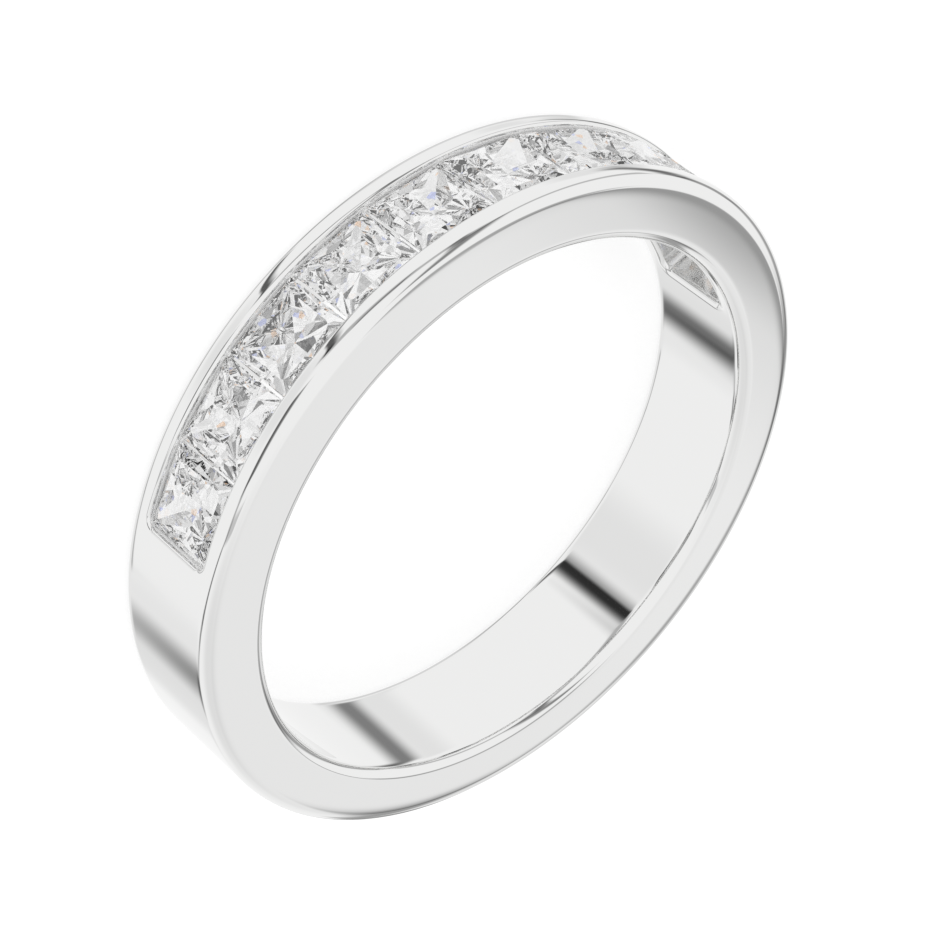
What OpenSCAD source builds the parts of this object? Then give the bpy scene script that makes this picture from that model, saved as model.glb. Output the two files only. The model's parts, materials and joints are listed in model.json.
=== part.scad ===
/* [Finger bore] */
// Diameter of the finger bore, a ladies' ring size 7
bore_d = 17.3; // [15:0.1:20]
// Rounding where the bore meets each side face
bore_edge_r = 0.36; // [0.2:0.02:0.5]

/* [Band] */
// Width of the band along the finger
band_w = 3.8; // [3.6:0.1:5]
// Thickness of the metal at the top, in the middle of the stone row
top_t = 2.06; // [1.9:0.02:2.6]
// Thickness of the metal at the two sides
side_t = 2; // [1.9:0.02:2.5]
// Thickness of the metal at the back of the finger
back_t = 1.82; // [1.6:0.02:2.2]
// Rounding where the outer face meets each side face
outer_edge_r = 0.38; // [0.2:0.02:0.5]

/* [Channel] */
// Number of stones in the row
stone_count = 10; // [6:1:12]
// Width of the channel between its two rails
channel_w = 2.44; // [2.3:0.02:2.5]
// Rounding of the channel's four upright corners
channel_corner_r = 0.3; // [0.15:0.05:0.35]
// Depth of the groove in each rail that holds the stones' edges
seat_depth = 0.08; // [0.06:0.01:0.1]

/* [Stones] */
// Depth of the stones' girdles below the band's outer face
girdle_drop = 0.32; // [0.3:0.02:0.4]
// Clearance between a stone's edge and the bottom of its groove
seat_gap = 0.04; // [0.03:0.01:0.05]
// Gap between one stone's edge and the next
stone_gap = 0.09; // [0.04:0.01:0.1]
// Height of the stone's crown above its girdle
crown_h = 0.2; // [0.16:0.01:0.24]
// Height of the girdle band
girdle_h = 0.05; // [0.03:0.01:0.06]
// Depth of the pavilion below the girdle, to the point of the stone
pavilion_h = 1.36; // [1.2:0.02:1.4]
// Width of the table, as a share of the stone's side
table_share = 0.76; // [0.7:0.01:0.78]
// How far each corner of the stone is cut back, so that it isn't sharp
corner_cut = 0.06; // [0.04:0.01:0.08]

/* [Hidden] */
$fn = 180;

// A little extra length, so that cutters pass right through a face
over = 0.5;

// How far inside the bore's wall the channel's cutters start
channel_start = 1;

// Angle of the row, at each end, that the channel's end pieces cut instead of its arc
end_piece_angle = 4;

// The seat groove: how far its floor and its lips' edges lie below and above the girdle's top edge
seat_floor_below = 0.08;
seat_floor_above = 0.12;
seat_lip_below = 0.18;
seat_lip_above = 0.16;
// Angle by which the groove stops short of the row's ends
seat_end_angle = 0.05;

// The bore's radius, and the outer face's distance from the bore's axis at top, side and back
bore_r = bore_d / 2;
top_r = bore_r + top_t;
side_r = bore_r + side_t;
back_r = bore_r + back_t;

// The outer outline is an oval of four arcs that meet at 45 degrees.
// Its centre lies above the bore's axis, so that the metal is thickest at the top.
oval_rise = (top_r - back_r) / 2;
oval_half_h = (top_r + back_r) / 2;
arc_shift = (side_r - oval_half_h) / (2 - sqrt(2));
flat_arc_r = oval_half_h + arc_shift;
side_arc_r = side_r - arc_shift;

// Side of each square stone, and the distance of its girdle from the bore's axis
stone_side = channel_w + 2 * (seat_depth - seat_gap);
girdle_r = top_r - girdle_drop;

// Angle from one stone to the next, and the whole row's angle
stone_pitch = 2 * atan((stone_side + stone_gap) / 2 / girdle_r);
channel_angle = stone_count * stone_pitch;

// How far the facets' planes would meet below the stone's point, which leaves a small culet
tip_cut = 0.03;

// Facets of one corner of a stone: each row gives the turn from the middle of a side, and the
// lean from level. All of them pass through the girdle's corners, so they fan out from there.
crown_rows = [[0, atan(2 * crown_h / (stone_side * (1 - table_share)))], [22.5, 23], [45, 21]];
pavilion_rows = [[0, 118], [12, 133], [28, 141],
                 [45, 180 - atan((pavilion_h + tip_cut) * sqrt(2) / stone_side)]];

// A facet between the middle of a side and the corner has a twin on the other side of the middle
function ways(turn) = turn > 0 && turn < 45 ? [-1, 1] : [1];
function corner_reach(turn) = stone_side / 2 * (cos(turn) + sin(turn));
function facet_ring(rows, z) = [for (side = [0:90:270], row = rows, way = ways(row[0]))
                                [side + way * row[0], row[1], corner_reach(row[0]), z]];

// Every facet as its turn, its lean, and its distance from the stone's axis at height z.
// The first four take off the girdle's sharp corners.
corner_facets = [for (turn = [45:90:315]) [turn, 90, corner_reach(45) - corner_cut, 0]];
facets = concat(corner_facets, facet_ring(crown_rows, 0), facet_ring(pavilion_rows, -girdle_h));

// The band lies on its side face. The bore's axis is +Z, and the stone row faces +Y.
mid_z = band_w / 2;

// Section of the outer rounded disc: its flat faces, its rim and two rounded corners
module rim_section(r) {
    square([r - outer_edge_r, band_w]);
    translate([0, outer_edge_r]) square([r, band_w - 2 * outer_edge_r]);
    translate([r - outer_edge_r, outer_edge_r]) circle(r = outer_edge_r);
    translate([r - outer_edge_r, band_w - outer_edge_r]) circle(r = outer_edge_r);
}

// One quarter of the oval disc, centred on the direction given
module rim_quarter(direction, r, centre) {
    translate(centre) rotate(direction - 45)
        rotate_extrude(angle = 90) intersection() {
            rim_section(r);
            translate([bore_r / 2, -over]) square([r, band_w + 2 * over]);
        }
}

// The oval outer body, before the bore is cut
module rim() {
    rim_quarter(90, flat_arc_r, [0, oval_rise - arc_shift, 0]);
    rim_quarter(180, side_arc_r, [-arc_shift, oval_rise, 0]);
    rim_quarter(270, flat_arc_r, [0, oval_rise + arc_shift, 0]);
    rim_quarter(0, side_arc_r, [arc_shift, oval_rise, 0]);
}

// The finger bore with its two rounded mouths, as one turned solid
module bore() {
    mouth_r = bore_r + bore_edge_r;
    rotate_extrude() {
        translate([0, -over]) square([bore_r, band_w + 2 * over]);
        difference() {
            translate([0, -over]) square([mouth_r, bore_edge_r + over]);
            translate([mouth_r, bore_edge_r]) circle(r = bore_edge_r);
        }
        difference() {
            translate([0, band_w - bore_edge_r]) square([mouth_r, bore_edge_r + over]);
            translate([mouth_r, band_w - bore_edge_r]) circle(r = bore_edge_r);
        }
    }
}

// Cross-section of the channel at one of its ends, with rounded corners
module channel_end_section(length) {
    r = channel_corner_r;
    half = channel_w / 2;
    translate([0, -half]) square([length - r, channel_w]);
    translate([0, r - half]) square([length, channel_w - 2 * r]);
    translate([length - r, r - half]) circle(r = r);
    translate([length - r, half - r]) circle(r = r);
}

// The channel's end on the side of -X
module channel_end(inner, depth) {
    length = 3 * channel_corner_r;
    rotate(90 + channel_angle / 2) translate([inner, 0, 0])
        rotate([90, 0, 90]) linear_extrude(depth)
            translate([-length, 0]) channel_end_section(length);
}

// The channel: an arc-shaped slot from the outer face through to the bore
module channel() {
    inner = bore_r - channel_start;
    depth = top_r + over - inner;
    // The end pieces take over from the arc where their straight sides begin
    arc_angle = channel_angle - 2 * end_piece_angle;
    translate([0, 0, mid_z]) {
        rotate(90 - arc_angle / 2) rotate_extrude(angle = arc_angle)
            translate([inner, -channel_w / 2]) square([depth, channel_w]);
        channel_end(inner, depth);
        mirror([1, 0, 0]) channel_end(inner, depth);
    }
}

// Section of the seat groove: a shallow slot with sloped lips
module seat_section() {
    lip = channel_w / 2;
    deep = lip + seat_depth;
    lower_lip = girdle_r - seat_lip_below;
    lower_floor = girdle_r - seat_floor_below;
    upper_floor = girdle_r + seat_floor_above;
    upper_lip = girdle_r + seat_lip_above;
    polygon([[lower_lip, -lip], [lower_floor, -deep], [upper_floor, -deep], [upper_lip, -lip],
             [upper_lip, lip], [upper_floor, deep], [lower_floor, deep], [lower_lip, lip]]);
}

// The grooves in the two rails, cut over the length of the row
module seats() {
    groove_angle = channel_angle - 2 * seat_end_angle;
    translate([0, 0, mid_z]) rotate(90 - groove_angle / 2)
        rotate_extrude(angle = groove_angle) seat_section();
}

// The metal: shank, rails and channel are one solid
module band() {
    color("gainsboro") difference() {
        rim();
        bore();
        channel();
        seats();
    }
}

// What one flat facet takes away: all that lies beyond its plane
module beyond_facet(turn, lean, reach, z) {
    block = 4 * stone_side;
    rotate(turn) translate([reach, 0, z]) rotate([0, lean - 90, 0])
        translate([0, -block / 2, -block / 2]) cube(block);
}

// A square brilliant with its first facets cut, one after the other.
// The top edge of its girdle is at z = 0, its table faces up and its point faces down.
module cut_stone(facet_count) {
    depth = girdle_h + pavilion_h;
    if (facet_count == 0) {
        translate([-stone_side / 2, -stone_side / 2, -depth])
            cube([stone_side, stone_side, depth + crown_h]);
    } else {
        last = facets[facet_count - 1];
        difference() {
            cut_stone(facet_count - 1);
            beyond_facet(last[0], last[1], last[2], last[3]);
        }
    }
}

// Stone number n of the row, counted from the left end as seen from the front face
module stone(n) {
    turn = (stone_count + 1 - 2 * n) * stone_pitch / 2;
    color("white") translate([0, 0, mid_z]) rotate(turn) translate([0, girdle_r, 0])
        rotate([-90, 0, 0]) cut_stone(len(facets));
}

band();
for (n = [1:stone_count]) {
    stone(n);
}
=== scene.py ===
# %% [markdown]
# # A channel set band
#
# A finger ring of polished white gold. Across its top half a channel is cut through the metal, and
# ten square stones stand in it edge to edge, held by a groove in each rail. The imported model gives
# the sizes and places. The metal gets a new skin with soft edges, and the stones keep their facets.

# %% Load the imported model
import json
import math
import bmesh
import bpy
import numpy as np
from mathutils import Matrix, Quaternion, Vector


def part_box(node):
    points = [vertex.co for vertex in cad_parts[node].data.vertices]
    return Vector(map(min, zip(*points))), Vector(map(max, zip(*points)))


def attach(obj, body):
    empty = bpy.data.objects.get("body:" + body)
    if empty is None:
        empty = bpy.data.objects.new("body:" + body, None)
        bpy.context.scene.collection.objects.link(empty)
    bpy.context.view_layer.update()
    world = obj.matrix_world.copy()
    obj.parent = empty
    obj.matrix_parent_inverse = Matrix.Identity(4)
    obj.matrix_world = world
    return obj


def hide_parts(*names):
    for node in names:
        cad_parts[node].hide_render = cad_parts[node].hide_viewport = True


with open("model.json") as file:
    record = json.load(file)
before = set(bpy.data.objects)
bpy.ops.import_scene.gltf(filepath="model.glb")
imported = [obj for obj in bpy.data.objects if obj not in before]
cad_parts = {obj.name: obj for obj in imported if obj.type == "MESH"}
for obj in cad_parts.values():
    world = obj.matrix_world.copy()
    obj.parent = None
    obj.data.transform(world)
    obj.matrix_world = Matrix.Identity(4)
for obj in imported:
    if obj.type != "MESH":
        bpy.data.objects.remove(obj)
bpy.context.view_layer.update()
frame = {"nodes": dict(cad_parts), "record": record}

MM = 0.001

# %% [markdown]
# ## The sizes
#
# A goldsmith starts from the finger: the bore is round, and its size is known. The outer face is an
# oval of four arcs, a little thicker over the stones than at the back. Those four distances come from
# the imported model's box and its bore mount, so the skin can't drift away from the solid.

# %% Sizes of the band
low, high = (np.array(corner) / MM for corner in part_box("band"))
mounts = {mount["name"]: mount for mount in frame["record"]["mounts"]}
bore_r = mounts["finger_bore"]["dims"]["r_mm"]
half_w = (high[2] - low[2]) / 2
mid_z = (high[2] + low[2]) / 2
top_r, back_r, side_r = high[1], -low[1], high[0]
bore_edge_r = 0.42
outer_edge_r = 0.45
print(f"bore {bore_r} mm, top {top_r:.2f}, side {side_r:.2f}, back {back_r:.2f}, width {2 * half_w:.2f}")

# %% Sizes of the channel
stone_names = sorted((name for name in frame["nodes"] if name.startswith("stone_")),
                     key=lambda name: int(name.split("_")[1]))
channel_half_w = 1.22
corner_r = 0.3
groove_depth = 0.08
edge_in_groove = 0.04
girdle_drop = 0.32
stone_side = 2 * (channel_half_w + edge_in_groove)
stone_gap = 0.09
girdle_r = top_r - girdle_drop
stone_pitch = 2 * math.atan((stone_side + stone_gap) / 2 / girdle_r)
half_angle = len(stone_names) * stone_pitch / 2
print(f"{len(stone_names)} stones, {math.degrees(stone_pitch):.2f} degrees apart")

# %% [markdown]
# ## The camera
#
# A long lens a hand's breadth away, as for any jewel: it keeps the ring's far side from shrinking.
# The camera is turned about its own axis until the ring leans in the frame as it does in the photo,
# while the ring itself lies on its side on the table.

# %% Camera
view_azimuth = math.radians(125.173)
view_elevation = math.radians(35.214)
view_roll = math.radians(129.02)
view_distance = 91.509
view_centre = Vector((0, 0.3, 1.9))

outward = Vector((math.cos(view_elevation) * math.cos(view_azimuth),
                  math.cos(view_elevation) * math.sin(view_azimuth), math.sin(view_elevation)))
camera = bpy.data.objects.new("camera", bpy.data.cameras.new("camera"))
camera.data.sensor_width = 36
camera.data.lens = 123.385
camera.data.clip_start = 0.001
camera.location = (view_centre + view_distance * outward) * MM
camera.rotation_mode = "QUATERNION"
camera.rotation_quaternion = (-outward).to_track_quat("-Z", "Y") @ Quaternion((0, 0, 1), view_roll)
bpy.context.collection.objects.link(camera)
bpy.context.scene.camera = camera
print("camera at mm", [round(v / MM, 1) for v in camera.location])

# %% [markdown]
# ## The band's coordinates
#
# Every point of the metal is written as an angle round the finger, a height along the bore, and a
# distance from the bore's axis. The distance is a mix of the bore's radius and the outer oval, plus
# an offset in millimetres. One map then turns any grid of such values into points in space.

# %% The oval and the map
def outer_r(turn):
    """Distance of the outer face from the bore's axis, for a turn counted from +X.

    The oval is four arcs that meet at 45 degrees. For each arc, with centre c and radius R, the
    distance along the direction e is e.c + sqrt(R^2 - c.c + (e.c)^2); the arc that faces e counts.
    """
    centre_y = (top_r - back_r) / 2
    half_h = (top_r + back_r) / 2
    shift = (side_r - half_h) / (2 - math.sqrt(2))
    flat_r, round_r = half_h + shift, side_r - shift
    direction = np.stack([np.cos(turn), np.sin(turn)])

    def reach(x, y, radius):
        along = direction[0] * x + direction[1] * y
        return along + np.sqrt(radius ** 2 - x * x - y * y + along ** 2)

    x, y = direction * reach(0, centre_y - shift, flat_r)
    y = y - centre_y
    upright = np.abs(y) >= np.abs(x)
    flat = np.where(y > 0, reach(0, centre_y - shift, flat_r), reach(0, centre_y + shift, flat_r))
    tall = np.where(x > 0, reach(shift, centre_y, round_r), reach(-shift, centre_y, round_r))
    return np.where(upright, flat, tall)


def place(swing, height, share, offset):
    """Points in metres. swing is the angle from the row's middle, clockwise from above.

    distance = bore_r (1 - share) + outer_r(turn) share + offset, with turn = 90 degrees - swing;
    then x = distance cos(turn), y = distance sin(turn), z = mid_z + height.
    """
    swing, height, share, offset = np.broadcast_arrays(swing, height, share, offset)
    turn = math.pi / 2 - swing
    distance = bore_r * (1 - share) + outer_r(turn) * share + offset
    return np.stack([distance * np.cos(turn), distance * np.sin(turn), mid_z + height], -1) * MM


print(f"metal at the sides of the row's ends: {float(outer_r(math.pi / 2 - half_angle)) - bore_r:.3f} mm")


# %% Profiles in small steps
def eased(first, last):
    """Steps from first to last with a short one at each end, which keeps the shading of a flat
    face from leaning into the rounding beside it."""
    steps = np.array([0, 0.03, 0.12, 0.5, 0.88, 0.97, 1])
    return first + (last - first) * steps


def quarter(steps):
    """Angles of a quarter turn, from 0 to 90 degrees."""
    return np.linspace(0, math.pi / 2, steps + 1)


def polished_quarter(steps, lead=0.0):
    """A rounding as a polishing wheel leaves it: it starts and ends gently, with no hard line.

    The surface leans by a(t) = lead + (90 degrees - lead) (3 t^2 - 2 t^3), and the point is the
    integral of (cos a, sin a), scaled so that it runs from (0, 0) to (1, 1).
    """
    fine = np.linspace(0, 1, 24 * steps + 1)
    lean = lead + (math.pi / 2 - lead) * (3 * fine ** 2 - 2 * fine ** 3)
    middle = (lean[1:] + lean[:-1]) / 2
    run = np.concatenate([[0], np.cumsum(np.cos(middle))])
    rise = np.concatenate([[0], np.cumsum(np.sin(middle))])
    return (run / run[-1])[::24], (rise / rise[-1])[::24]


# %% [markdown]
# ## The channel's wall
#
# The channel is a slot with rounded corners, open to the finger so that light reaches the stones
# from behind. Its wall is worked out as a loop of columns round the slot. Each column runs from the
# bore face, over a soft mouth, up the wall with its groove, over the upper mouth and out to the
# edge of the outer face. Because all columns have the same rows, they form one grid. A setter cuts
# the groove stone by stone, so its upper lip follows the stones' straight edges closely.

# %% Columns round the slot
mouth_top_r = 0.15
mouth_bore_r = 0.24
collar = math.radians(2.6)
rim_corner_share = 0.72
mean_r = (bore_r + top_r) / 2
corner_swing = corner_r / mean_r


def quarter_loop(corner_steps=14, end_steps=7, side_steps=68):
    """One quarter of the slot's edge, from the middle of the end wall to the middle of a rail.

    Returns swing and height of each column, the direction into the metal in millimetres, the depth
    of the groove there, and the swing and share of height of the point it meets on the face's rim.
    The corner is a quarter circle; the groove's floor is the square corner round it.
    """
    lean = quarter(corner_steps)
    end_h = np.linspace(0, channel_half_w - corner_r, end_steps + 1)[:-1]
    side_s = np.linspace(half_angle - corner_swing, 0, side_steps + 1)[1:]
    swing = np.concatenate([np.full(end_steps, half_angle),
                            half_angle - corner_swing * (1 - np.cos(lean)), side_s])
    height = np.concatenate([end_h, channel_half_w - corner_r * (1 - np.sin(lean)),
                             np.full(side_steps, channel_half_w)])
    into_swing = np.concatenate([np.ones(end_steps), np.cos(lean), np.zeros(side_steps)])
    into_height = np.concatenate([np.zeros(end_steps), np.sin(lean), np.ones(side_steps)])
    to_square = np.minimum(corner_r / np.maximum(np.cos(lean), 1e-6),
                           (corner_r + groove_depth) / np.maximum(np.sin(lean), 1e-6)) - corner_r
    groove = np.concatenate([np.zeros(end_steps), to_square, np.full(side_steps, groove_depth)])

    half = corner_steps // 2
    rim_end = half_angle + collar
    rim_swing = np.concatenate([np.full(end_steps + half, rim_end),
                                np.linspace(rim_end, half_angle - corner_swing, half + 1), side_s])
    rim_share = np.concatenate([np.linspace(0, rim_corner_share, end_steps + 1)[:-1],
                                np.linspace(rim_corner_share, 1, half + 1)[:-1],
                                np.ones(half + 1 + side_steps)])
    return np.stack([swing, height, into_swing, into_height, groove, rim_swing, rim_share])


def whole_loop():
    """The slot's whole edge: the quarter, then its three mirror images, each joined end to end.

    A mirror image across the row's middle turns the sign of the swings, one across the band's
    mid-width turns the sign of the heights. Every second quarter runs backwards.
    """
    part = quarter_loop()
    swings, heights = [0, 2, 5], [1, 3, 6]
    across, under, both = part.copy(), part.copy(), part.copy()
    across[swings] *= -1
    under[heights] *= -1
    both[swings + heights] *= -1
    runs = [part[:, :-1], across[:, :0:-1], both[:, :-1], under[:, :0:-1]]
    return np.concatenate(runs, axis=1)


loop = whole_loop()
print("columns round the slot:", loop.shape[1])

# %% Rows of the wall
mouth_steps = 10
mouth_run, mouth_rise = polished_quarter(mouth_steps)
lower_rows = np.array([[-0.18, 0], [-0.165, 0.1], [-0.095, 0.9], [-0.08, 1], [-0.07, 1]])
upper_rows = np.array([[0.012, 1], [0.018, 1], [0.022, 0.85], [0.036, 0.15], [0.04, 0]])
straight_start = 0.03
straight_end = 0.2
mouth_lead = 0.002


def seat_rise(swing):
    """How far a stone's straight girdle rises above girdle_r: girdle_r / cos(offset) - girdle_r.

    The offset is the angle from the middle of the nearest stone, at most half a stone's pitch.
    """
    offset = np.mod(np.abs(swing), stone_pitch) - stone_pitch / 2
    return girdle_r / np.cos(offset) - girdle_r


def wall_grid():
    """Points of the slot's wall with its two mouths, and of the faces out to their rims.

    A mouth follows the polished quarter: distance into the metal = r (1 - run), depth below the
    face = r rise. Between the mouths the wall is straight, apart from the groove. Outside them the
    face runs in straight steps from the mouth's edge to the rim's point.
    """
    swing, height, into_swing, into_height, groove, rim_swing, rim_share = loop

    def step_in(distance):
        return swing + into_swing * distance / mean_r, height + into_height * distance

    rows = []
    mouths = ((0, mouth_bore_r, half_w - bore_edge_r, 1), (1, mouth_top_r, half_w - outer_edge_r, -1))
    for share, mouth_r, rim_h, sign in mouths:
        edge_swing, edge_height = step_in(mouth_r)
        face = [place(edge_swing + (rim_swing - edge_swing) * step,
                      edge_height + (rim_share * rim_h - edge_height) * step, share, 0)
                for step in eased(1, 0)]
        mouth = [place(*step_in(mouth_r * (1 - run)), share, sign * mouth_r * rise)
                 for run, rise in zip(mouth_run[1:], mouth_rise[1:])]
        rows.append(face + mouth)

    seat = girdle_r - bore_r
    upper_seat = seat + seat_rise(swing)
    wall = [place(*step_in(depth * groove), 0, seat + rise) for rise, depth in lower_rows]
    wall += [place(*step_in(depth * groove), 0, upper_seat + rise) for rise, depth in upper_rows]
    near_bore = place(swing, height, 0, mouth_bore_r + straight_start)
    near_groove = place(swing, height, 0, seat - straight_end)
    near_mouth = place(swing, height, 1, -mouth_top_r - mouth_lead)
    return np.stack(rows[0] + [near_bore, near_groove] + wall + [near_mouth] + rows[1][::-1])


wall = wall_grid()
room = outer_r(math.pi / 2 - loop[0]) - mouth_top_r - girdle_r - seat_rise(loop[0]) - upper_rows[-1, 0]
print("wall grid, rows by columns:", wall.shape[:2], "least wall over the groove:", round(room.min(), 3))

# %% [markdown]
# ## The band's sides
#
# The side faces and their rounded edges run all the way round, rails included. They are one strip
# on each side: over the outer rounding, across the flat face and down the inner rounding. Past the
# slot the outer face and the bore are plain strips, whose points meet the slot's rim exactly.

# %% Side strips and shank
rim_columns = loop[:, (np.abs(loop[6]) == 1) & (loop[3] > 0)]
slot_swings = np.unique(np.round(rim_columns[5], 12))
shank_columns = 220
shank_swings = np.linspace(slot_swings[-1], 2 * math.pi + slot_swings[0], shank_columns)
all_swings = np.concatenate([slot_swings, shank_swings[1:-1]])
end_shares = np.unique(np.round(loop[6][np.isclose(loop[5], half_angle + collar)], 12))
edge_steps = 18
flat_steps = 24
roll_share = 0.3
roll_drop = 0.002
roll_lean = 3 * roll_drop / (roll_share * (top_r - bore_r - outer_edge_r - bore_edge_r))
print(f"the side face leans {math.degrees(roll_lean):.1f} degrees at its outer edge")


def side_strip(side):
    """The strip on one side of the band, side = 1 or -1.

    Outer rounding: the polished quarter from the oval, in from it by r run' and down by r rise'.
    Flat face: from the oval to the bore, with a roll-off near the oval, for the share s of the way:
    drop = roll_drop (1 - s / roll_share)^3. Inner rounding: the polished quarter down to the bore.
    """
    run, rise = polished_quarter(edge_steps, roll_lean)
    outer = [(1, -outer_edge_r * (1 - u), half_w - roll_drop - (outer_edge_r - roll_drop) * v)
             for u, v in zip(run[::-1], rise[::-1])]
    steps = np.linspace(0, 1, flat_steps + 1)[1:-1]
    drops = roll_drop * np.maximum(0, 1 - steps / roll_share) ** 3
    flat = [(1 - step, -outer_edge_r * (1 - step) + bore_edge_r * step, half_w - drop)
            for step, drop in zip(steps, drops)]
    run, rise = polished_quarter(edge_steps)
    inner = [(0, bore_edge_r * (1 - u), half_w - bore_edge_r * v) for u, v in zip(run, rise)]
    share, offset, height = (np.array(column)[:, None] for column in zip(*(outer + flat + inner)))
    return place(all_swings[None, :], side * height, share, offset)


def shank_face(share, rim_h):
    """The outer face or the bore past the slot: heights = rim_h times the shares of the slot's rim."""
    return place(shank_swings[None, :], (end_shares * rim_h)[:, None], share, 0)


patches = [(wall, True), (side_strip(1), True), (side_strip(-1), True),
           (shank_face(1, half_w - outer_edge_r), False), (shank_face(0, half_w - bore_edge_r), False)]
print("points before welding:", sum(points[..., 0].size for points, _ in patches))


# %% Weld the grids into one closed skin
def grid_faces(rows, columns, closed, first):
    """Quads of a grid, as whole arrays: corner (i, j) with its neighbours at i + 1 and j + 1."""
    index = first + np.arange(rows * columns).reshape(rows, columns)
    if closed:
        index = np.concatenate([index, index[:, :1]], axis=1)
    return np.stack([index[:-1, :-1], index[:-1, 1:], index[1:, 1:], index[1:, :-1]], -1).reshape(-1, 4)


def welded_mesh(name, grids, distance=0.0002 * MM):
    """One mesh from several grids: shared points are merged and the normals point outwards."""
    points, faces = [], []
    for grid, closed in grids:
        first = sum(len(block) for block in points)
        faces.append(grid_faces(*grid.shape[:2], closed, first))
        points.append(grid.reshape(-1, 3))
    mesh = bpy.data.meshes.new(name)
    mesh.from_pydata(np.concatenate(points), [], np.concatenate(faces))
    shape = bmesh.new()
    shape.from_mesh(mesh)
    bmesh.ops.remove_doubles(shape, verts=shape.verts, dist=distance)
    bmesh.ops.recalc_face_normals(shape, faces=shape.faces)
    open_edges = sum(len(edge.link_faces) != 2 for edge in shape.edges)
    volume = shape.calc_volume(signed=True) / MM ** 3
    shape.to_mesh(mesh)
    shape.free()
    mesh.polygons.foreach_set("use_smooth", np.ones(len(mesh.polygons), bool))
    print(f"{name}: {len(mesh.polygons)} faces, {open_edges} open edges, {volume:.1f} mm3")
    return mesh


band_skin = bpy.data.objects.new("band_skin", welded_mesh("band_skin", patches))
bpy.context.collection.objects.link(band_skin)
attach(band_skin, "root")
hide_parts("band")

# %% Helpers for node trees
def material(name):
    """A new material with its node tree and its shader."""
    made = bpy.data.materials.new(name)
    made.use_nodes = True
    return made, made.node_tree, made.node_tree.nodes["Principled BSDF"]


def math_node(tree, operation, *values, clamp=False):
    """A Math node fed with sockets or plain numbers; returns its output."""
    made = tree.nodes.new("ShaderNodeMath")
    made.operation = operation
    made.use_clamp = clamp
    for socket, value in zip(made.inputs, values):
        if isinstance(value, bpy.types.NodeSocket):
            tree.links.new(value, socket)
        else:
            socket.default_value = value
    return made.outputs[0]


def dot(tree, one, other):
    """The dot product of two vector sockets."""
    made = tree.nodes.new("ShaderNodeVectorMath")
    made.operation = "DOT_PRODUCT"
    tree.links.new(one, made.inputs[0])
    tree.links.new(other, made.inputs[1])
    return made.outputs["Value"]


# %% [markdown]
# ## White gold
#
# Polished white gold is a mirror with a slightly grey tint. On the real ring the polish is never
# quite even: wheels leave a faint haze, which a small noise in the roughness gives. No wheel reaches
# the narrow wall between the stones and the rail's rim, so it keeps the matte white skin that the
# metal has after casting. The skin's points carry that as an attribute, which takes the mirror away
# there. The same attribute also makes the wall glow faintly. That glow is painted light, standing in
# for the light the stones throw onto the wall.

# %% Which points lie on the channel's wall
wall_margin = 0.2
wall_start_below = 0.03
wall_mouth_share = 0.9


def wall_mask(mesh):
    """1 for points on the slot's wall above the stones' girdles, 0 for all others.

    A point at r counts if girdle_r - wall_start_below < r < outer_r - wall_mouth_share mouth_top_r
    and it lies less than wall_margin outside the slot's outline, so the groove is inside too.
    """
    points = np.empty(3 * len(mesh.vertices))
    mesh.vertices.foreach_get("co", points)
    x, y, z = points.reshape(-1, 3).T / MM
    radius, swing = np.hypot(x, y), np.arctan2(x, y)
    inside_width = np.abs(z - mid_z) < channel_half_w + wall_margin
    inside_length = np.abs(swing) < half_angle + wall_margin / mean_r
    above_start = radius > girdle_r - wall_start_below
    below_mouth = radius < outer_r(math.pi / 2 - swing) - wall_mouth_share * mouth_top_r
    return (inside_width & inside_length & above_start & below_mouth).astype(float)


on_wall = wall_mask(band_skin.data)
in_channel = band_skin.data.attributes.new("in_channel", "FLOAT", "POINT")
in_channel.data.foreach_set("value", on_wall)
print("points on the wall:", int(on_wall.sum()), "of", len(on_wall))

# %% White gold
polish_roughness = 0.02
haze_roughness = 0.025
matte_roughness = 0.5
painted_wall_glow = 0.22
haze_scale = 900

white_gold, tree, shader = material("white_gold")
nodes, links = tree.nodes, tree.links
haze = nodes.new("ShaderNodeTexNoise")
haze.inputs["Scale"].default_value = haze_scale
haze.inputs["Detail"].default_value = 3
links.new(nodes.new("ShaderNodeTexCoord").outputs["Object"], haze.inputs["Vector"])
matte_and_painted_glow = nodes.new("ShaderNodeAttribute")
matte_and_painted_glow.attribute_name = "in_channel"
polished = math_node(tree, "MULTIPLY_ADD", haze.outputs["Fac"], haze_roughness, polish_roughness)
links.new(math_node(tree, "MULTIPLY_ADD", matte_and_painted_glow.outputs["Fac"], matte_roughness, polished),
          shader.inputs["Roughness"])
links.new(math_node(tree, "SUBTRACT", 1, matte_and_painted_glow.outputs["Fac"]), shader.inputs["Metallic"])
# Painted glow: the wall's emission stands in for the light the stones throw onto it.
links.new(matte_and_painted_glow.outputs["Fac"], shader.inputs["Emission Color"])
shader.inputs["Emission Strength"].default_value = painted_wall_glow
shader.inputs["Base Color"].default_value = (0.86, 0.86, 0.856, 1)
band_skin.data.materials.append(white_gold)
print("roughness of the polish:", polish_roughness, "to", round(polish_roughness + haze_roughness, 3))

# %% [markdown]
# ## Stones
#
# Diamond bends light far more than glass does: its index is 2.42. Light that enters through the
# table is thrown from facet to facet below and comes back up, which gives the bright and dark
# splinters. So the stones need real facets and enough bounces, not a painted pattern.
#
# Three things are added to plain glass. Light that is still inside after fifteen bounces would turn
# black, but on a real stone it leaves at last, so it ends in a mean light. A real stone splits white
# light into colours. Here that fire is painted: a few small cells on the undersides tint what they
# send back blue or orange.
# The undersides are polished less finely than the crown, and mirror more than a single facet would.
# A surface is a stone's underside where it faces the bore's axis. Backfacing tells its two sides
# apart: whether the path is inside the stone or outside it.

# %% Where a stone's surface faces
deepest_bounce = 15
deep_light = 0.45
stone_tint = (0.94, 0.94, 0.94, 1)

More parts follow.
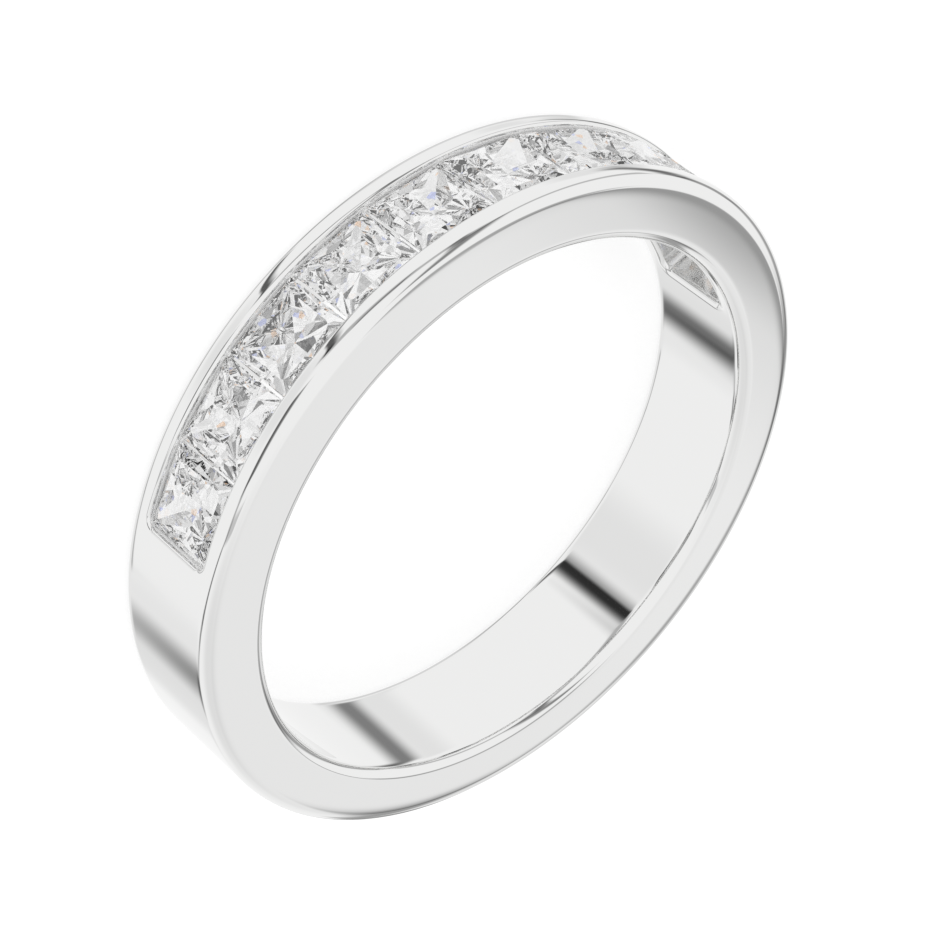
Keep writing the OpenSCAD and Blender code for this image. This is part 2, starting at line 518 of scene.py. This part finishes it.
diamond, tree, shader = material("diamond")
nodes, links = tree.nodes, tree.links
position = nodes.new("ShaderNodeTexCoord").outputs["Object"]
from_axis = nodes.new("ShaderNodeVectorMath")
from_axis.operation = "MULTIPLY"
from_axis.inputs[1].default_value = (1, 1, 0)
links.new(position, from_axis.inputs[0])
surface = nodes.new("ShaderNodeNewGeometry")
seen_from_inside = surface.outputs["Backfacing"]
side_met = dot(tree, from_axis.outputs[0], surface.outputs["True Normal"])
facing_out = math_node(tree, "MULTIPLY", side_met,
                       math_node(tree, "MULTIPLY_ADD", seen_from_inside, -2, 1))
girdle_limit = -2 * MM
underside = math_node(tree, "LESS_THAN", facing_out, girdle_limit)
underside_outside = math_node(tree, "SUBTRACT", underside, seen_from_inside, clamp=True)
underside_inside = math_node(tree, "MULTIPLY", underside, seen_from_inside)
print("bounces before a path in a stone ends in the mean light:", deepest_bounce)

# %% Painted fire: colour cells on the undersides
painted_fire_scale = 5000
# Painted fire: random blue and orange cells in the base colour stand in for the colours a stone splits
# light into.
painted_fire_cells = nodes.new("ShaderNodeTexVoronoi")
painted_fire_cells.inputs["Scale"].default_value = painted_fire_scale
links.new(position, painted_fire_cells.inputs["Vector"])
pick = nodes.new("ShaderNodeSeparateColor")
links.new(painted_fire_cells.outputs["Color"], pick.inputs["Color"])
painted_fire_colour = nodes.new("ShaderNodeValToRGB")
painted_fire_colour.color_ramp.interpolation = "CONSTANT"
blue, white = painted_fire_colour.color_ramp.elements
blue.position, blue.color = 0, (0.35, 0.42, 1, 1)
white.position, white.color = 0.03, stone_tint
painted_fire_colour.color_ramp.elements.new(0.96).color = (1, 0.5, 0.25, 1)
links.new(pick.outputs["Red"], painted_fire_colour.inputs["Fac"])
tinted = nodes.new("ShaderNodeMix")
tinted.data_type = "RGBA"
links.new(underside_inside, tinted.inputs["Factor"])
tinted.inputs["A"].default_value = stone_tint
links.new(painted_fire_colour.outputs["Color"], tinted.inputs["B"])
links.new(tinted.outputs["Result"], shader.inputs["Base Color"])

# %% Stones
underside_roughness = 0.2
underside_coat_ior = 6
links.new(math_node(tree, "MULTIPLY", underside_outside, underside_roughness), shader.inputs["Roughness"])
links.new(underside_outside, shader.inputs["Coat Weight"])
shader.inputs["Coat IOR"].default_value = underside_coat_ior
shader.inputs["Coat Roughness"].default_value = 0.02
path = nodes.new("ShaderNodeLightPath")
links.new(math_node(tree, "GREATER_THAN", path.outputs["Ray Depth"], deepest_bounce - 0.5),
          shader.inputs["Emission Color"])
shader.inputs["Emission Strength"].default_value = deep_light
shader.inputs["IOR"].default_value = 2.42
shader.inputs["Transmission Weight"].default_value = 1
for name in stone_names:
    stone = frame["nodes"][name]
    for slot in stone.material_slots:
        slot.material = diamond
print("stones given their material:", len(stone_names))

# %% [markdown]
# ## The table
#
# The ring lies on a light table: white paper that glows a little from below, which keeps the space
# inside the ring as white as the space outside. The paper is left out of the reflections. On the
# real set the ring stood clear of the table, so its metal mirrors only the tent.

# %% Light table
floor_mesh = bpy.data.meshes.new("floor")
reach = 400 * MM
corners = [(-reach, -reach, 0), (reach, -reach, 0), (reach, reach, 0), (-reach, reach, 0)]
floor_mesh.from_pydata(corners, [], [(0, 1, 2, 3)])
floor = bpy.data.objects.new("floor", floor_mesh)
floor.visible_glossy = False
floor.visible_transmission = False
bpy.context.collection.objects.link(floor)
paper_grey = 0.45
paper_glow = 0.66
paper, _, shader = material("paper")
shader.inputs["Base Color"].default_value = (paper_grey, paper_grey, paper_grey, 1)
shader.inputs["Roughness"].default_value = 1
shader.inputs["Specular IOR Level"].default_value = 0
shader.inputs["Emission Color"].default_value = (1, 1, 1, 1)
shader.inputs["Emission Strength"].default_value = paper_glow
floor.data.materials.append(paper)
print("table:", [round(2 * reach, 2)] * 2, "metres")

# %% [markdown]
# ## The tent
#
# Polished metal has no look of its own: what is seen in it is the room. A jewel is photographed in a
# white tent, and the tent's folds and corners draw the soft dark bands that make the metal read as
# metal. Each fold is a dark stripe between two directions, and each corner is a round patch. Both
# are node groups, built once and hung as often as the tent needs them.

# %% Node groups of the tent
def node_group(name, inputs, output):
    """A shader node group with the inputs given and one float output."""
    group = bpy.data.node_groups.new(name, "ShaderNodeTree")
    for label, kind in inputs:
        group.interface.new_socket(name=label, in_out="INPUT", socket_type=kind)
    group.interface.new_socket(name=output, in_out="OUTPUT", socket_type="NodeSocketFloat")
    return group, group.nodes.new("NodeGroupInput"), group.nodes.new("NodeGroupOutput")


def falloff(group, value, edge, softness):
    """1 up to the edge, then a smooth step down to 0 over the softness."""
    made = group.nodes.new("ShaderNodeMapRange")
    made.interpolation_type = "SMOOTHSTEP"
    made.inputs["To Min"].default_value = 1
    made.inputs["To Max"].default_value = 0
    group.links.new(value, made.inputs["Value"])
    group.links.new(edge, made.inputs["From Min"])
    group.links.new(math_node(group, "ADD", edge, softness), made.inputs["From Max"])
    return made.outputs["Result"]


VECTOR, FLOAT = "NodeSocketVector", "NodeSocketFloat"
fold_group, given, result = node_group("fold", [
    ("Direction", VECTOR), ("Middle", VECTOR), ("Along", VECTOR), ("Across", VECTOR),
    ("Half Length", FLOAT), ("Half Width", FLOAT), ("Soft Left", FLOAT), ("Soft Right", FLOAT),
    ("Soft End", FLOAT), ("Darkness", FLOAT)], "Light")
given = given.outputs
across = math_node(fold_group, "ARCSINE", dot(fold_group, given["Direction"], given["Across"]))
other_way = math_node(fold_group, "MULTIPLY", across, -1)
along = math_node(fold_group, "ARCTAN2", dot(fold_group, given["Direction"], given["Along"]),
                  dot(fold_group, given["Direction"], given["Middle"]))
from_middle = math_node(fold_group, "ABSOLUTE", along)
left = falloff(fold_group, across, given["Half Width"], given["Soft Left"])
right = falloff(fold_group, other_way, given["Half Width"], given["Soft Right"])
ends = falloff(fold_group, from_middle, given["Half Length"], given["Soft End"])
stripe = math_node(fold_group, "MULTIPLY", math_node(fold_group, "MULTIPLY", left, right), ends)
shade = math_node(fold_group, "MULTIPLY", stripe, given["Darkness"])
fold_group.links.new(math_node(fold_group, "SUBTRACT", 1, shade), result.inputs["Light"])

corner_group, given, result = node_group("corner", [
    ("Direction", VECTOR), ("Middle", VECTOR), ("Radius", FLOAT), ("Softness", FLOAT),
    ("Gain", FLOAT)], "Light")
given = given.outputs
away = math_node(corner_group, "ARCCOSINE", dot(corner_group, given["Direction"], given["Middle"]))
spot = falloff(corner_group, away, given["Radius"], given["Softness"])
change = math_node(corner_group, "MULTIPLY", spot, given["Gain"])
corner_group.links.new(math_node(corner_group, "ADD", 1, change), result.inputs["Light"])
print("nodes in a fold:", len(fold_group.nodes), "and in a corner:", len(corner_group.nodes))

# %% Hang the folds and corners
world = bpy.data.worlds.new("tent")
bpy.context.scene.world = world
world.use_nodes = True
tent = world.node_tree
background = tent.nodes["Background"]
looking = tent.nodes.new("ShaderNodeTexCoord").outputs["Generated"]
tent_light = 0.985


def towards(azimuth, elevation):
    """The unit vector of a direction given in degrees."""
    azimuth, elevation = math.radians(azimuth), math.radians(elevation)
    return Vector((math.cos(elevation) * math.cos(azimuth), math.cos(elevation) * math.sin(azimuth),
                   math.sin(elevation)))


def hang(group, light, values):
    """Place a group in the tent and multiply its light into what came before.

    The values are plain ones or sockets, by the names of the group's inputs.
    """
    placed = tent.nodes.new("ShaderNodeGroup")
    placed.node_tree = group
    tent.links.new(looking, placed.inputs["Direction"])
    for label, value in values.items():
        if isinstance(value, bpy.types.NodeSocket):
            tent.links.new(value, placed.inputs[label])
        else:
            placed.inputs[label].default_value = value
    return math_node(tent, "MULTIPLY", light, placed.outputs["Light"])


def fold(light, start, end, width, soft, soft_end, darkness):
    """A dark stripe along the great circle from start to end; all angles are in degrees.

    Across = start x end, Middle = start + end and Along = Across x Middle, each made unit length.
    """
    first, last = towards(*start), towards(*end)
    side = first.cross(last).normalized()
    middle = (first + last).normalized()
    return hang(fold_group, light, {
        "Middle": middle, "Along": side.cross(middle), "Across": side, "Half Length": first.angle(last) / 2,
        "Half Width": math.radians(width), "Soft Left": math.radians(soft[0]),
        "Soft Right": math.radians(soft[1]), "Soft End": math.radians(soft_end), "Darkness": darkness})


def corner(light, centre, radius, softness, gain):
    """A round patch, darker where gain is negative; the angles are in degrees."""
    return hang(corner_group, light, {"Middle": towards(*centre), "Radius": math.radians(radius),
                                      "Softness": math.radians(softness), "Gain": gain})


light = tent_light
light = fold(light, (6, -1), (9, -34), 1, (7.5, 9), 5, 0.76)
light = fold(light, (313, 29), (314.5, 40), 0.3, (1.6, 1), 1.5, 0.55)
light = fold(light, (313, 27), (314.5, 42), 0.3, (4.5, 1), 3, 0.18)
light = fold(light, (315.5, 41), (323.5, 67), 1.2, (4, 3.5), 2, 0.55)
light = fold(light, (294, 28), (312, 28.5), 0.3, (1.5, 1.5), 1.5, 0.45)
light = fold(light, (313, 26), (322, 16), 1, (6, 6), 3, 0.65)
light = fold(light, (322, 15), (344, 3), 3, (7, 10), 4, 0.6)
light = fold(light, (346, 3), (3, -3.5), 4.5, (6, 7), 3, 0.63)
light = fold(light, (17, 1), (60, 26), 2.5, (5.5, 4), 3.5, 0.45)
light = fold(light, (66, 29), (65, 66), 2, (9.5, 9), 6, 0.73)
light = fold(light, (62, 28), (95, 0), 2.5, (7, 4.5), 3, 0.48)
light = fold(light, (95, 0), (119, -27), 3.5, (7, 5.5), 3, 0.5)
light = fold(light, (123, -30), (104, -64), 0.7, (1.5, 4.3), 5, 0.88)
light = fold(light, (138, -13), (164, 2), 4.8, (11.5, 5.5), 3.7, 0.8)
light = fold(light, (166, 1), (182, 12), 2, (6, 4), 3, 0.5)
light = fold(light, (179, 12), (182, 40), 2.3, (5.4, 3.2), 4, 0.37)
light = fold(light, (184, 8), (208, -16), 1, (3.8, 3.4), 3, 0.63)
light = fold(light, (208, -17), (240, -32), 0.5, (3, 4.7), 3.6, 0.43)
light = fold(light, (297, 30), (283, 5), 0.8, (3.7, 3.6), 3, 0.6)
light = fold(light, (285, 3), (294.5, -32), 2.5, (3, 4), 2, 0.64)
light = fold(light, (346, -42), (60, -70), 5.7, (12, 11.5), 4, 0.26)
light = fold(light, (305, 25), (314, 25), 1.5, (3.5, 7), 3, 0.5)
light = fold(light, (77, 12), (73, 36), 1.2, (4, 4), 4, 0.6)
light = fold(light, (96, -1), (112, -14), 1.2, (4, 4), 3, 0.6)
light = fold(light, (139, -15), (162, -1), 1, (4, 4), 4, 0.5)
light = fold(light, (186, 4), (218, -24), 0.8, (3.5, 3.5), 4, 0.45)
light = fold(light, (226, -44), (208, -53), 2, (4, 5), 3, 0.45)
light = fold(light, (206, -55), (176, -71), 2.5, (5, 5), 4, 0.45)
light = fold(light, (172, -73), (62, -77), 3, (6, 6), 4, 0.45)
light = fold(light, (58, -76), (14, -71), 3, (6, 6), 4, 0.4)
light = corner(light, (237, 34), 10, 40, -0.16)
light = corner(light, (285, 42), 14, 14, -0.08)
light = corner(light, (243, -50), 3, 23, -0.1)
light = corner(light, (122.5, -32), 0.3, 6, -0.75)
light = corner(light, (242.5, -33), 1, 9, -0.81)
light = corner(light, (6, -19), 4.3, 9, -0.31)
light = corner(light, (303, 6), 6, 16, -0.2)
light = corner(light, (257, -35), 4, 9, -0.12)
light = corner(light, (229, -35), 2, 7, -0.05)
light = corner(light, (23, -36), 3, 9, -0.12)
light = corner(light, (141, -36), 5, 15, -0.12)
print("folds and corners hung:", sum(node.bl_idname == "ShaderNodeGroup" for node in tent.nodes))

# %% [markdown]
# ## What only the stones see
#
# A stone is darker where a path through it ends on the side of the tent that the lens looks towards.
# On a real set a grey card is held there, small enough to stay out of the metal's mirror. Here the
# card is one more round patch, whose gain is zero for every ray that hasn't come out of a stone.

# %% Grey card behind the stones, and plain white for the table and the backdrop
card_gain = -0.35
path = tent.nodes.new("ShaderNodeLightPath")
gain = math_node(tent, "MULTIPLY", path.outputs["Is Transmission Ray"], card_gain)
light = corner(light, (305, -35), 18, 28, gain)
tent.links.new(light, background.inputs["Strength"])
plain = tent.nodes.new("ShaderNodeBackground")
chosen = tent.nodes.new("ShaderNodeMixShader")
tent.links.new(math_node(tent, "MAXIMUM", path.outputs["Is Camera Ray"], path.outputs["Is Diffuse Ray"]),
               chosen.inputs["Fac"])
tent.links.new(background.outputs[0], chosen.inputs[1])
tent.links.new(plain.outputs[0], chosen.inputs[2])
tent.links.new(chosen.outputs[0], tent.nodes["World Output"].inputs["Surface"])
plain.inputs["Color"].default_value = (1, 1, 1, 1)
background.inputs["Color"].default_value = (1, 1, 1, 1)
world.cycles.sampling_method = "NONE"
print("the stones alone see a card of gain", card_gain)

# %% Bounces and view
scene = bpy.context.scene
scene.view_settings.view_transform = "Standard"
scene.cycles.max_bounces = deepest_bounce
scene.cycles.glossy_bounces = 12
scene.cycles.transmission_bounces = deepest_bounce
scene.cycles.caustics_reflective = True
scene.cycles.caustics_refractive = True
print("bounces, in all and off mirrors:", scene.cycles.max_bounces, scene.cycles.glossy_bounces)
